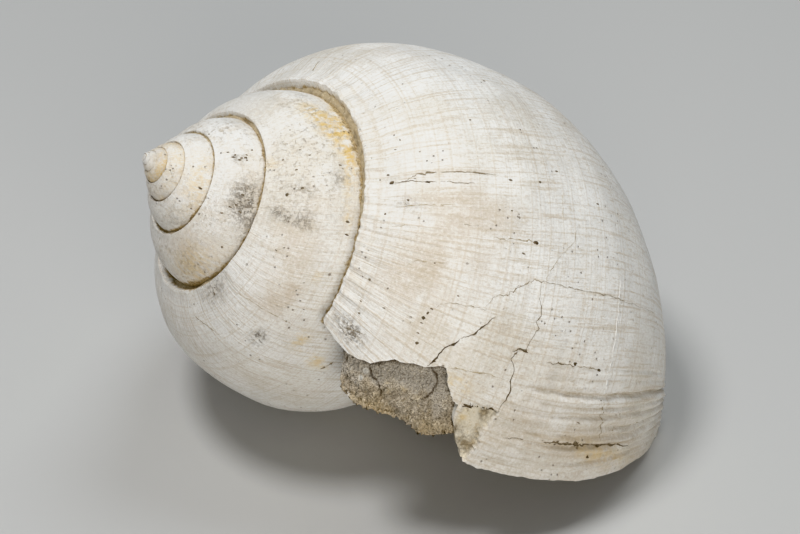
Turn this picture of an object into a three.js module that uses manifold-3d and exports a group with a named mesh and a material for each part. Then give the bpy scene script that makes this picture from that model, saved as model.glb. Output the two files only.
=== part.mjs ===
// A fossil moon snail shell, lying on its last whorl with the spire raised to the left, the broken
// lip in front and hardened sand in its mouth. Millimetres, +Z up, resting on Z = 0.
// A turn counts whorls back from the lip: 0 at the lip, -1 one whorl earlier, near -6 at the apex.
import * as THREE from 'three';
import Module from 'manifold-3d';
import { mergeVertices } from 'three/addons/utils/BufferGeometryUtils.js';

// Growth of the coil: logs of how much a whorl widens and lengthens in one turn
const FIRST_TURN = -5.5;
const WIDEN = 0.53;
const WIDEN_LATE = 0.084;
const LENGTHEN = 0.461;
const LENGTHEN_LATE = 0.212;

// How it lies: the axis points from the base to the apex
const AXIS_COMPASS = 198.6;
const AXIS_RISE = 39.3;
const LIP_ANGLE = -89.3;
const APEX_AT = new THREE.Vector3(-40.7, -7.94, 52.65);

// Whorl section at the lip: distance out from the axis, and height along it with the apex at 0
const SUTURE_HEIGHT = -26.9;
const CENTRE = [21.9, -57.7];
const RADIUS_BY_ANGLE = [
  [80, 30.5], [70, 29.25], [60, 27.45], [40, 24.2], [20, 22.0],
  [0, 21.55], [-20, 23.0], [-40, 25.7], [-60, 30.1], [-75, 35.1], [-90, 41.0],
];
const CHANNEL = [[20.5, -28.8], [24.9, -28.5], [25.9, -26.2]];
const CHANNEL_INNER = [[20.5, -32.0], [24.3, -31.8], [25.8, -30.6]];
const BASE = [[26.5, -93.3], [20.0, -94.0], [13.5, -92.0], [9.0, -86.0], [6.5, -77.0], [5.0, -46.0]];
const BASE_INNER = [[26.4, -90.6], [20.6, -91.0], [16.2, -88.5], [13.6, -82.5], [12.4, -74.0], [11.0, -46.0]];
const AXIS_SIDE = [[1.2, -50.0], [0.8, -33.0]];
const AXIS_SIDE_CLOSED = [[0.8, -88.0], [0.8, -33.0]];
const WALL = 1.8;
const CALLUS = { radius: 10.5, out: 1.5, height: -64, turn: -0.1 };
const PILLAR = [[0, -44.0], [1.5, -44.0], [0.6, -4.0], [1.05, -2.4], [1.0, -1.6], [0.6, -0.9], [0, -0.65]];

// Broken lip: the turn at which the wall ends, by angle round the section
const LIP_EDGE = [
  [79, 0.0085], [73, 0.011], [68, 0.0065], [63, 0.0], [56, -0.012], [49, -0.02], [43, -0.0245], [40, -0.0155],
  [36, -0.0112], [32.5, -0.001], [27, 0.011], [21, 0.0173], [16, 0.0186], [9, 0.016], [1, 0.0134],
  [-7, 0.0105], [-15, 0.0076], [-24, 0.0042], [-33, 0.0016], [-41, -0.002], [-49, -0.0065],
  [-57, -0.011], [-65, -0.018], [-72, -0.0225], [-79, -0.0255],
];
const LIP_AT_CHANNEL = 0.002;
const LIP_AT_BASE = -0.03;
const LIP_AT_AXIS = -0.055;

// Growth furrows and the chipped flake on the outer face near the lip
const WALL_START = -0.3;
const RING_STEPS = [0, 0.1, 0.2, 0.3, 0.4, 0.5, 0.6, 0.7, 0.77, 0.815, 0.835, 0.855, 0.9, 0.93, 0.95, 0.975, 1];
const FURROWS = [
  { step: 0.835, depth: 0.55 },
  { step: 0.93, depth: 0.35 },
];
const FURROW_BELOW = 14;
const FURROW_FADE = 20;
const FLAKE = { from: 18, to: 34, step: 0.96, depth: 0.7 };

// Sand in the mouth
const SAND_GAP = 0.35;
const SAND_BACK = 0.01;
const SAND_EDGE = [
  [79, 0.012], [75.5, 0.019], [72.5, 0.034], [69, 0.039], [64.5, 0.038], [58.5, 0.0315], [52.5, 0.0255],
  [47.5, 0.021], [43, 0.0225], [38, 0.022], [33, 0.0155], [27, 0.008], [19, 0.003], [9, -0.002],
  [-4, -0.007], [-17, -0.011], [-30, -0.016], [-43, -0.021], [-56, -0.026], [-68, -0.031], [-79, -0.036],
];
const SAND_AT_BASE = -0.05;
const SAND_SUTURE_SIDE = [
  { at: [13, -52], turn: -0.05 },
  { at: [20, -40], turn: -0.02 },
  { at: [21.5, -32.4], turn: 0.008 },
  { at: [24.6, -32.4], turn: 0.01 },
];
const SAND_STEPS = 11;
const SAND_MIDDLE = [26, -66];
const SAND_FACE = [0.82, 0.58, 0.3];
const SAND_DISH = 0.012;
const SAND_LUMP = 0.0034;

const PILLAR_SIDES = 10;
const KNOB_DETAIL = 3;
const FLOOR_BLOCK = [300, 300, 40];
const SAND_REACHES_BACK = -1.9;

const SHELL_COLOUR = 0xd8d2c6;
const SAND_COLOUR = 0xa39478;
const PIECE_TURNS = 0.75;
const MOST_STEPS = 22;
const STEPS_FALL = 0.2;
const LEAST_SHARE = 0.45;

const wasm = await Module();
wasm.setup();

const rad = THREE.MathUtils.degToRad;
const axis = new THREE.Vector3(0, 0, 1)
  .applyAxisAngle(new THREE.Vector3(0, 1, 0), rad(90 - AXIS_RISE))
  .applyAxisAngle(new THREE.Vector3(0, 0, 1), rad(AXIS_COMPASS));
const uphill = new THREE.Vector3(0, 0, 1).addScaledVector(axis, -axis.z).normalize();
const sideways = new THREE.Vector3().crossVectors(axis, uphill);

function widthAt(turn) {
  return Math.exp(WIDEN * turn + WIDEN_LATE * (Math.exp(turn) - 1));
}

function lengthAt(turn) {
  return Math.exp(LENGTHEN * turn + LENGTHEN_LATE * (Math.exp(turn) - 1));
}

// A point of the lip's section, carried back along the coil to another turn
function coil(turn, [out, height]) {
  const width = widthAt(turn);
  const along = SUTURE_HEIGHT * lengthAt(turn) + (height - SUTURE_HEIGHT) * width;
  const angle = rad(LIP_ANGLE) - 2 * Math.PI * turn;
  return APEX_AT.clone()
    .addScaledVector(uphill, Math.cos(angle) * out * width)
    .addScaledVector(sideways, Math.sin(angle) * out * width)
    .addScaledVector(axis, along);
}

// Value at x in a list of [x, value] pairs whose x falls, as a smooth or a straight line
function between(pairs, x, smooth) {
  const last = pairs.length - 1;
  let i = 0;
  while (i < last - 1 && x < pairs[i + 1][0]) i += 1;
  const u = THREE.MathUtils.clamp((x - pairs[i][0]) / (pairs[i + 1][0] - pairs[i][0]), 0, 1);
  if (!smooth) return THREE.MathUtils.lerp(pairs[i][1], pairs[i + 1][1], u);
  const [a, b, c, d] = [i - 1, i, i + 1, i + 2].map((k) => pairs[THREE.MathUtils.clamp(k, 0, last)][1]);
  return b + 0.5 * u * (c - a + u * (2 * a - 5 * b + 4 * c - d + u * (3 * (b - c) + d - a)));
}

function wallPoint(angle, inset) {
  const radius = between(RADIUS_BY_ANGLE, angle, true) - inset;
  return [CENTRE[0] + radius * Math.cos(rad(angle)), CENTRE[1] + radius * Math.sin(rad(angle))];
}

const wallAngles = LIP_EDGE.map(([angle]) => angle);
const outerLine = [...CHANNEL, ...wallAngles.map((angle) => wallPoint(angle, 0)), ...BASE];
const innerLine = [...CHANNEL_INNER, ...wallAngles.map((angle) => wallPoint(angle, WALL)), ...BASE_INNER];
const lipEnds = [
  ...CHANNEL.map(() => LIP_AT_CHANNEL),
  ...LIP_EDGE.map(([, turn]) => turn),
  ...BASE.map((_, i) => THREE.MathUtils.lerp(LIP_AT_BASE, LIP_AT_AXIS, Math.min(1, i / 3))),
];

// Triangles that fill a plane outline, in its own winding
function filled(outline) {
  const corners = outline.map(([x, y]) => new THREE.Vector2(x, y));
  const faces = THREE.ShapeUtils.triangulateShape(corners, []);
  return THREE.ShapeUtils.isClockWise(corners) ? faces.map((face) => face.reverse()) : faces;
}

// Triangles across a wall whose outline runs down one side and back up the other
function across(count) {
  return Array.from({ length: count / 2 - 1 }, (_, j) => [
    [j, j + 1, count - 2 - j],
    [j, count - 2 - j, count - 1 - j],
  ]).flat();
}

// One closed solid from rings of points, with the given triangles at both ends
function skin(rings, faces) {
  const count = rings[0].length;
  const top = (rings.length - 1) * count;
  const index = [];
  faces.forEach(([a, b, c]) => index.push(a, c, b, top + a, top + b, top + c));
  for (let i = 0; i < rings.length - 1; i += 1) {
    for (let j = 0; j < count; j += 1) {
      const k = (j + 1) % count;
      const [a, b, c, d] = [i * count + j, i * count + k, (i + 1) * count + k, (i + 1) * count + j];
      index.push(a, b, c, a, c, d);
    }
  }
  const geometry = new THREE.BufferGeometry();
  geometry.setAttribute('position', new THREE.Float32BufferAttribute(
    rings.flat().flatMap((p) => p.toArray()), 3));
  geometry.setIndex(index);
  return geometry;
}

function signedVolume(geometry) {
  const [p, q, r] = [new THREE.Vector3(), new THREE.Vector3(), new THREE.Vector3()];
  const { position } = geometry.attributes;
  let sum = 0;
  for (let i = 0; i < geometry.index.count; i += 3) {
    [p, q, r].forEach((corner, k) => corner.fromBufferAttribute(position, geometry.index.getX(i + k)));
    sum += p.dot(q.cross(r)) / 6;
  }
  return sum;
}

function solid(source) {
  const plain = source.clone();
  plain.deleteAttribute('normal');
  plain.deleteAttribute('uv');
  const geometry = mergeVertices(plain, 1e-5);
  const triVerts = new Uint32Array(geometry.index.array);
  if (signedVolume(geometry) < 0) {
    for (let i = 0; i < triVerts.length; i += 3) {
      [triVerts[i], triVerts[i + 1]] = [triVerts[i + 1], triVerts[i]];
    }
  }
  const vertProperties = new Float32Array(geometry.attributes.position.array);
  return new wasm.Manifold(new wasm.Mesh({ numProp: 3, vertProperties, triVerts }));
}

function toGeometry(manifold) {
  const { vertProperties, triVerts } = manifold.getMesh();
  const geometry = new THREE.BufferGeometry();
  geometry.setAttribute('position', new THREE.BufferAttribute(vertProperties, 3));
  geometry.setIndex(new THREE.BufferAttribute(triVerts, 1));
  return geometry;
}

// The outline moved outwards by a distance, for the room left round a neighbour
function grown(outline, distance) {
  const area = THREE.ShapeUtils.area(outline.map(([x, y]) => new THREE.Vector2(x, y)));
  return outline.map((point, i) => {
    const before = outline[(i + outline.length - 1) % outline.length];
    const after = outline[(i + 1) % outline.length];
    const along = new THREE.Vector2(after[0] - before[0], after[1] - before[1]).normalize();
    const push = distance * Math.sign(area);
    return [point[0] + along.y * push, point[1] - along.x * push];
  });
}

function sweep(outline, turns) {
  return solid(skin(turns.map((turn) => outline.map((point) => coil(turn, point))), filled(outline)));
}

function spread(from, to, steps) {
  return Array.from({ length: steps + 1 }, (_, i) => THREE.MathUtils.lerp(from, to, i / steps));
}

// The slender pillar round which the whorls coil
function pillar() {
  const line = PILLAR.map(([out, height]) => new THREE.Vector2(out, height));
  const turned = new THREE.LatheGeometry(line, PILLAR_SIDES);
  turned.applyQuaternion(new THREE.Quaternion().setFromUnitVectors(new THREE.Vector3(0, 1, 0), axis));
  turned.translate(APEX_AT.x, APEX_AT.y, APEX_AT.z);
  return solid(turned);
}

// The smooth knob of shell that closes the navel at the base, grown by extra
function callus(extra) {
  const knob = new THREE.IcosahedronGeometry(CALLUS.radius + extra, KNOB_DETAIL);
  const centre = coil(CALLUS.turn, [CALLUS.out, CALLUS.height]);
  knob.translate(centre.x, centre.y, centre.z);
  return solid(knob);
}

// The turns at which one piece of the coil has its rings, ending at the given turn
function ringTurns(end) {
  const steps = Math.round(MOST_STEPS * Math.max(LEAST_SHARE, 1 + STEPS_FALL * end));
  return spread(end - PIECE_TURNS, end, steps);
}

// Whorls that are solid right through, in pieces shorter than a turn, back to the earliest turn asked
// for and grown by extra on all sides. Each piece starts one ring inside the piece before it, and
// only the last keeps the open navel round the axis.
function earlyWhorls(earliest, extra) {
  const navel = [...outerLine, ...AXIS_SIDE];
  const closed = [...outerLine.slice(0, -3), ...AXIS_SIDE_CLOSED];
  let whorls = null;
  for (let end = WALL_START; end > earliest + PIECE_TURNS; end -= PIECE_TURNS) {
    const shape = whorls ? closed : navel;
    const overlap = ringTurns(end - PIECE_TURNS).at(-2);
    const piece = sweep(
      extra ? grown(shape, extra / widthAt(end)) : shape,
      [overlap, ...ringTurns(end)],
    );
    whorls = whorls ? whorls.add(piece) : piece;
  }
  return whorls;
}

function furrowDepth(step, angle) {
  if (angle > FURROW_BELOW) return 0;
  const furrow = FURROWS.find((one) => one.step === step);
  return furrow ? furrow.depth * Math.min(1, (FURROW_BELOW - angle) / FURROW_FADE) : 0;
}

function flakeDepth(step, angle) {
  return step > FLAKE.step && angle > FLAKE.from && angle < FLAKE.to ? FLAKE.depth : 0;
}

// The hollow last part of the shell, from the end of the solid whorls to the broken lip
function lipWall() {
  const outline = [...outerLine, ...innerLine.slice().reverse()];
  const ends = [...lipEnds, ...lipEnds.slice().reverse()];
  const start = outline.map((point) => coil(ringTurns(WALL_START).at(-2), point));
  const rings = RING_STEPS.map((step) => outline.map((point, j) => {
    const angle = wallAngles[j - CHANNEL.length];
    const outside = j < outerLine.length && angle !== undefined;
    const cut = outside ? furrowDepth(step, angle) + flakeDepth(step, angle) : 0;
    const turn = THREE.MathUtils.lerp(WALL_START, ends[j], step);
    return coil(turn, cut ? wallPoint(angle, cut) : point);
  }));
  return solid(skin([start, ...rings], across(outline.length)));
}

function belowFloor() {
  const block = new THREE.BoxGeometry(...FLOOR_BLOCK);
  block.translate(0, 0, -FLOOR_BLOCK[2] / 2);
  return solid(block);
}

// Sand that set in the mouth: it fills the hollow, and its front face stands in shallow lumps
function mouthSand() {
  const nearBase = BASE_INNER.slice(0, -1);
  const line = [
    ...SAND_EDGE.map(([angle]) => wallPoint(angle, WALL + SAND_GAP)),
    ...nearBase.map(([out, height]) => [out + SAND_GAP, height + SAND_GAP]),
    ...SAND_SUTURE_SIDE.map(({ at }) => at),
  ];
  const ends = [
    ...SAND_EDGE.map(([, turn]) => turn),
    ...nearBase.map(() => SAND_AT_BASE),
    ...SAND_SUTURE_SIDE.map(({ turn }) => turn),
  ];
  const back = WALL_START + SAND_BACK;
  const rings = spread(0, 1, SAND_STEPS).map((step) => line.map((point, j) => (
    coil(THREE.MathUtils.lerp(back, ends[j], step), point))));
  SAND_FACE.forEach((share, ring) => {
    rings.push(line.map((point, j) => {
      const lump = SAND_LUMP * (Math.sin(0.9 * j + ring) + Math.sin(0.4 * j + 2 * ring));
      const inwards = point.map((value, k) => THREE.MathUtils.lerp(SAND_MIDDLE[k], value, share));
      return coil(ends[j] * share + lump - SAND_DISH * (1 - share), inwards);
    }));
  });
  return solid(skin(rings, filled(line)));
}

const whorls = earlyWhorls(FIRST_TURN, 0);
const shell = whorls.add(pillar()).add(lipWall()).add(callus(0)).subtract(belowFloor());
const room = earlyWhorls(SAND_REACHES_BACK, SAND_GAP).add(callus(SAND_GAP));
const sand = mouthSand().subtract(room).subtract(belowFloor());

const part = new THREE.Group();

function addMesh(name, manifold, colour, roughness) {
  const material = new THREE.MeshStandardMaterial({ color: colour, roughness, metalness: 0 });
  const mesh = new THREE.Mesh(toGeometry(manifold), material);
  mesh.name = name;
  part.add(mesh);
}

addMesh('shell', shell, SHELL_COLOUR, 0.62);
addMesh('mouth_sand', sand, SAND_COLOUR, 0.9);

export default part;
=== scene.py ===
import math

import bmesh
import bpy
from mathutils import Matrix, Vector
from mathutils.noise import noise


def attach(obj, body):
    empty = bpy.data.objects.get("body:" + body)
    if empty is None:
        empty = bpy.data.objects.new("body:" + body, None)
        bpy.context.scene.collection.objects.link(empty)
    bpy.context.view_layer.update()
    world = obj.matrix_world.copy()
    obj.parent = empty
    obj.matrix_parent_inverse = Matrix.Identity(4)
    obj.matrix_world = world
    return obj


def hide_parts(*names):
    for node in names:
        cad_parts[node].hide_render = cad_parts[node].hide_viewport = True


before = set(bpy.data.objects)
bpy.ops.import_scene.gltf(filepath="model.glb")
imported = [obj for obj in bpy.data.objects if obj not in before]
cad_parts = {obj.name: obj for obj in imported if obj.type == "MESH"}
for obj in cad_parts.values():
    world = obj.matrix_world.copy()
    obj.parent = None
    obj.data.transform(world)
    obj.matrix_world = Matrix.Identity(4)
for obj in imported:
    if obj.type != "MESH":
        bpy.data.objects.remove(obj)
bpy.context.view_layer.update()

MM = 0.001

# Growth of the coil: logs of how much a whorl widens and lengthens in one turn
WIDEN, WIDEN_LATE = 0.53, 0.084
LENGTHEN, LENGTHEN_LATE = 0.461, 0.212
FIRST_TURN = -7.4

# How it lies: the axis points from the base to the apex
AXIS_COMPASS = math.radians(198.6)
AXIS_RISE = math.radians(39.3)
LIP_ANGLE = math.radians(-89.3)
APEX_AT = Vector((-40.7, -7.94, 52.65))

# Whorl section at the lip: distance out from the axis, and height along it with the apex at 0
SUTURE_HEIGHT = -26.9
CENTRE = Vector((21.9, -57.7))
RADIUS_BY_ANGLE = [
    (-90, 41), (-75, 35.1), (-60, 30.1), (-40, 25.7), (-20, 23), (0, 21.55), (20, 22),
    (40, 24.2), (60, 27.45), (70, 29.25), (80, 30.5),
]
CHANNEL = [(20.5, -28.8), (22.6, -28.9), (24.4, -28.6), (25.3, -27.4), (26.1, -26.5), (26.9, -26.9)]
WALL_ANGLES = list(range(77, -80, -4))
BASE = [(26.5, -93.3), (20, -94), (13.5, -92), (9, -86), (6.5, -77), (5.4, -61), (5, -46)]
AXIS_SIDE = [(1.2, -50), (0.8, -33), (10, -31)]
WALL, WALL_AT_CHANNEL = 1.7, 0.5

# Broken lip: the turn at which the wall ends, by angle round the section in degrees
LIP_EDGE = [
    (-79, -0.0255), (-72, -0.0225), (-65, -0.018), (-57, -0.011), (-49, -0.0065), (-41, -0.002),
    (-33, 0.0016), (-24, 0.0042), (-15, 0.0076), (-7, 0.0105), (1, 0.0134), (9, 0.016), (16, 0.0186),
    (21, 0.0173), (23.6, 0.0148), (26.3, 0.0114), (28.1, 0.0081), (29.2, 0.0045), (31.5, 0.0021),
    (32.7, -0.0015), (33.3, -0.0085), (35.1, -0.0102), (37.6, -0.0122), (39.4, -0.0146),
    (41.2, -0.0196), (42.9, -0.0248), (45.3, -0.0235), (47.5, -0.0204), (51.2, -0.0174),
    (54.8, -0.0141), (58.5, -0.0101), (61.7, -0.0056), (63.3, -0.0007), (65.8, 0.0039), (68.9, 0.0069),
    (72.1, 0.0089), (78.4, 0.0093), (81.4, 0.0079),
]
LIP_AT_CHANNEL = 0.002
LIP_AT_BASE = -0.03
LIP_AT_AXIS = -0.055

# Rows of the grid along the coil
PLAIN_STEP = 0.46
CLOSE_STEP = 0.2
CLOSE_ANGLES = (10, 50)
FINE_FROM = -0.17
ROWS_EARLY, ROWS_MIDDLE, ROWS_LATE, ROWS_EDGE, ROWS_INSIDE = 260, 190, 150, 4, 8
EARLY_CROWDING = 1.25
MIDDLE_FROM = -1
POCKET_TURN = -0.1
EDGE_ROUGHNESS = 0.006

# Spalled flake behind the lip: its angles, its depth, and the turn it stays clear of
FLAKE_LOW, FLAKE_HIGH = 19, 31
FLAKE_DEPTH = 0.7
FLAKE_BEHIND = -0.03


def smooth_step(a, b, c, d, u):
    """Smooth curve from b to c that runs on from a and towards d."""
    return b + 0.5 * u * (c - a + u * (2 * a - 5 * b + 4 * c - d + u * (3 * (b - c) + d - a)))


def pair_value(pairs, x, smooth=False):
    """Value at x in a list of (x, value) pairs with rising x."""
    last = len(pairs) - 1
    i = 0
    while i < last - 1 and x > pairs[i + 1][0]:
        i += 1
    u = (x - pairs[i][0]) / (pairs[i + 1][0] - pairs[i][0])
    u = min(1, max(0, u))
    b, c = pairs[i][1], pairs[i + 1][1]
    if not smooth:
        return b + (c - b) * u
    return smooth_step(pairs[max(0, i - 1)][1], b, c, pairs[min(last, i + 2)][1], u)


def ease(low, high, x):
    """0 below low, 1 above high, and a smooth rise between."""
    u = min(1, max(0, (x - low) / (high - low)))
    return u * u * (3 - 2 * u)


def bell(x, middle, half):
    """1 at the middle, falling smoothly to either side."""
    return math.exp(-((x - middle) / half) ** 2)


def wave(x, y=0, z=0):
    """Smooth noise, from about -1 to 1."""
    return noise(Vector((x, y, z)))


# Width of the coil, and its length along the axis, as shares of those at the lip
def width_at(turn):
    return math.exp(WIDEN * turn + WIDEN_LATE * (math.exp(turn) - 1))


def length_at(turn):
    return math.exp(LENGTHEN * turn + LENGTHEN_LATE * (math.exp(turn) - 1))


axis = Vector((math.cos(AXIS_RISE) * math.cos(AXIS_COMPASS),
               math.cos(AXIS_RISE) * math.sin(AXIS_COMPASS), math.sin(AXIS_RISE)))
uphill = (Vector((0, 0, 1)) - axis * axis.z).normalized()
sideways = axis.cross(uphill)


def out_and_along(turn, point):
    """Distance from the axis and height along it of a section point carried to a turn."""
    width = width_at(turn)
    return point[0] * width, SUTURE_HEIGHT * length_at(turn) + (point[1] - SUTURE_HEIGHT) * width


def coil(turn, point):
    out, along = out_and_along(turn, point)
    angle = LIP_ANGLE - 2 * math.pi * turn
    foot = APEX_AT + uphill * (math.cos(angle) * out) + sideways * (math.sin(angle) * out)
    return foot + axis * along


def wall_point(angle, inset=0):
    radius = pair_value(RADIUS_BY_ANGLE, angle, True) - inset
    a = math.radians(angle)
    return CENTRE + Vector((math.cos(a), math.sin(a))) * radius


def section_angle(point):
    """Angle round the section's centre: 90 at the suture, 0 at the periphery, -90 at the base."""
    d = Vector(point) - CENTRE
    return math.degrees(math.atan2(d.y, d.x))


def curve_point(points, place):
    """Smooth curve through points, read at a place from 0 to len(points) - 1."""
    last = len(points) - 1
    i = min(last - 1, int(place))
    four = (Vector(points[min(last, max(0, k))]) for k in (i - 1, i, i + 1, i + 2))
    return smooth_step(*four, place - i)


# The whole section as one closed line, and what each of its points is
section_corners = [Vector(p) for p in CHANNEL] + [wall_point(a) for a in WALL_ANGLES]
section_corners += [Vector(p) for p in BASE + AXIS_SIDE] + [Vector(CHANNEL[0])]
WALL_STARTS = len(CHANNEL)
WALL_ENDS = WALL_STARTS + len(WALL_ANGLES) - 1


def station(place):
    """Section point, its angle, the turn at which it ends at the lip, and its place in the line."""
    point = curve_point(section_corners, place)
    if place < WALL_STARTS:
        u = place / WALL_STARTS
        end = LIP_AT_CHANNEL + (pair_value(LIP_EDGE, 77) - LIP_AT_CHANNEL) * u * u
        return point, 90 - 13 * u, end, place
    if place <= WALL_ENDS:
        angle = section_angle(point)
        return point, angle, pair_value(LIP_EDGE, angle), place
    u = min(1, (place - WALL_ENDS) / len(BASE))
    end = LIP_AT_BASE + (LIP_AT_AXIS - LIP_AT_BASE) * min(1, 2 * u)
    return point, -79 - 40 * u, end, place


def all_stations():
    result = []
    place = 0
    while place < len(section_corners) - 1:
        result.append(station(place))
        close = CLOSE_ANGLES[0] < result[-1][1] < CLOSE_ANGLES[1]
        place += CLOSE_STEP if close else PLAIN_STEP
    result.append((result[0][0], result[-1][1], result[-1][2], float(len(section_corners) - 1)))
    return result


stations = all_stations()

# Growth lines: their shift, slope and bend in turns, for each 50 degrees round the section
LINE_SHIFT, LINE_SLOPE, LINE_BEND = 0.0135, 0.0141, 0.0074
SLOPE_BEHIND_LIP, SLOPE_EARLIER = 0.0065, 0.012


def growth(turn, angle):
    """The same all along one growth line, which is the shape of an unbroken lip."""
    q = max(-95, min(85, angle)) / 50
    before = 1 - ease(-0.12, 0, turn)
    slope = LINE_SLOPE + SLOPE_BEHIND_LIP * before + SLOPE_EARLIER * (1 - ease(-0.8, -0.3, turn))
    return turn - (LINE_SHIFT + slope * q - LINE_BEND * (1 - before) * q * q)


# Millimetres along the suture in one turn, at the lip's size
SUTURE_LENGTH = 230


def rim_wear(turn, place):
    """Uneven wear of the rim beside the suture, as a shift of the section point."""
    size = width_at(turn)
    at = Vector((turn * SUTURE_LENGTH * size, 3, 0))
    share = bell(place, WALL_STARTS - 1, 1.6) * (0.3 + 0.7 * size)
    outwards = 0.5 * noise(at * 0.9 + Vector((0, 7, 0)))
    upwards = 0.34 * noise(at * 0.55) + 0.2 * noise(at * 1.9)
    return Vector((outwards, upwards)) * share


def flake_share(turn, angle):
    """1 where the outer layer has spalled off behind the lip, with a ragged edge."""
    if turn <= FLAKE_BEHIND:
        return 0
    left = -0.0165 + 0.0085 * ease(21, 34, angle)
    at = Vector((turn * 250, angle * 0.42, 0))
    wander = noise(at * 0.55) + 0.6 * noise(at * 1.5 + Vector((9, 0, 0)))
    inside = ease(FLAKE_LOW - 0.35, FLAKE_LOW + 0.35, angle + 2.6 * wander)
    inside *= 1 - ease(FLAKE_HIGH - 0.4, FLAKE_HIGH + 0.4, angle + 3 * wander)
    return inside * ease(left - 0.0005, left + 0.0005, turn + 0.0035 * wander)


# Wrinkles beside the lower lip: growth line, depth in millimetres, half width in turns
WRINKLES = [
    (-0.0675, 0.16, 0.0012), (-0.0605, 0.14, 0.001), (-0.0455, 0.22, 0.0012), (-0.0395, 0.34, 0.0013),
    (-0.033, 0.26, 0.0012), (-0.0275, 0.42, 0.0014), (-0.0215, 0.38, 0.0013), (-0.0165, 0.22, 0.001),
    (-0.0115, 0.3, 0.0012), (-0.0055, 0.2, 0.0011),
]


def relief(turn, angle):
    """Height of the surface over the plain coil, in millimetres at the lip's size."""
    g = growth(turn, angle)
    size = width_at(turn)
    low = 1 - ease(-4, 18, angle)
    right = 1 - ease(-45, 12, angle)
    # An old lip with a ridge in front of it, then the wrinkles, each with a ridge of its own
    sway = 0.0012 * wave(angle * 0.11, 8)
    height = -(0.32 + 0.58 * right) * bell(g + sway, -0.0525, 0.0015) * low
    height += (0.14 + 0.22 * right) * bell(g + sway, -0.0485, 0.002) * low
    for at, depth, half in WRINKLES:
        bend = 0.0022 * wave(angle * 0.05, at * 900, 2) + 0.0006 * wave(angle * 0.3, at * 900, 2)
        uneven = 0.6 + 0.9 * wave(angle * 0.04, at * 500, 7)
        strength = 1.7 * depth * low * (0.3 + 0.7 * right) * uneven
        height -= strength * bell(g + bend, at, half)
        height += 0.7 * strength * bell(g + bend, at + 1.9 * half, 1.2 * half)
    # Single growth furrows
    height -= 0.25 * bell(g, -0.0075, 0.0012) * ease(-10, 0, angle) * (1 - ease(14, 20, angle))
    height -= 0.16 * (bell(g, -0.1815, 0.0012) + bell(g, -0.177, 0.001)) * ease(28, 40, angle)
    # Uneven growth near the lip, and fine growth lines everywhere
    late = ease(-0.085, -0.03, g) * (1 - ease(14, 40, angle))
    wrinkle = Vector((g * 190, angle * 0.035, 1))
    height += 0.2 * late * noise(wrinkle) + 0.14 * late * noise(wrinkle * 2.3)
    height += 0.05 * (wave(g * 330, angle * 0.03, 1) + 0.7 * wave(g * 700, angle * 0.05, 5))
    # Broad unevenness, with spiral threads
    broad = coil(turn, (CENTRE.x, CENTRE.y)) * 0.09 + Vector((angle * 0.035, 0, 0))
    height += 0.2 * noise(broad) + 0.09 * noise(broad * 5)
    height += 0.05 * wave(turn * 90, angle * 0.16, 2)
    return height * (0.35 + 0.65 * size)


def pushed(point, amount):
    """A section point moved outwards by an amount in millimetres."""
    d = Vector(point) - CENTRE
    return CENTRE + d * (1 + amount / max(d.length, 1))


def surface(turn, angle):
    depth = flake_share(turn, angle) * FLAKE_DEPTH
    return coil(turn, pushed(wall_point(angle), relief(turn, angle) - depth))


def lip_end(angle, plain, place):
    """Turn of the broken edge, with the small steps of the break."""
    if place >= WALL_ENDS:
        return plain
    a = angle * 0.35
    wander = 0.0014 * wave(a, 2) + 0.0014 * wave(a * 3.4, 6)
    return plain + wander * (0.5 + 0.9 * ease(8, 16, angle))


def row_plan():
    """Each row along the coil: which part it belongs to and how far along that part it is."""
    plan = [("early", i / ROWS_EARLY) for i in range(ROWS_EARLY)]
    plan += [("middle", i / ROWS_MIDDLE) for i in range(ROWS_MIDDLE)]
    plan += [("late", i / ROWS_LATE) for i in range(ROWS_LATE + 1)]
    plan += [("edge", (i + 1) / ROWS_EDGE) for i in range(ROWS_EDGE)]
    plan += [("inside", (i + 1) / ROWS_INSIDE) for i in range(ROWS_INSIDE)]
    return plan


def row_turn(part, share, end):
    """Turn of a row. The early rows draw together towards the later whorls."""
    if part == "early":
        return FIRST_TURN + (MIDDLE_FROM - FIRST_TURN) * (1 - (1 - share) ** EARLY_CROWDING)
    if part == "middle":
        return MIDDLE_FROM + (FINE_FROM - MIDDLE_FROM) * share
    if part == "late":
        return FINE_FROM + (end - FINE_FROM) * share
    return end


def inner_points():
    """The section line moved inwards by the wall's thickness, which is less at the channel."""
    result = []
    count = len(stations)
    for j in range(count):
        before, after = stations[j - 1 if j else count - 2][0], stations[(j + 1) % (count - 1)][0]
        along = (after - before).normalized()
        inset = WALL_AT_CHANNEL + (WALL - WALL_AT_CHANNEL) * ease(0, WALL_STARTS + 1, stations[j][3])
        result.append(stations[j][0] + Vector((along.y, -along.x)) * inset)
    return result


# Growth furrows that hold soil: growth line, half width, the angles between which each shows, strength
FURROWS = [
    (-0.053, 0.0011, -80, 12, 1.1), (-0.0215, 0.0011, -80, 2, 0.9), (-0.0075, 0.0009, -8, 16, 0.8),
    (-0.0395, 0.0008, -60, 6, 0.6), (-0.033, 0.0008, -70, 10, 0.5), (-0.0275, 0.0009, -70, 8, 0.6),
    (-0.0165, 0.0007, -60, 16, 0.5), (-0.0115, 0.0007, -60, 14, 0.5), (-0.0455, 0.0007, -60, 10, 0.5),
    (-0.0675, 0.0006, -50, 20, 0.4), (-0.0605, 0.0006, -40, 20, 0.3), (-0.1815, 0.0009, 28, 86, 0.4),
    (-0.158, 0.0008, 40, 90, 0.35), (-0.139, 0.0008, 50, 86, 0.35), (-0.113, 0.0007, 30, 80, 0.3),
    (-0.003, 0.0005, -60, 6, 0.4), (-0.198, 0.0007, 20, 70, 0.3),
]


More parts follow.
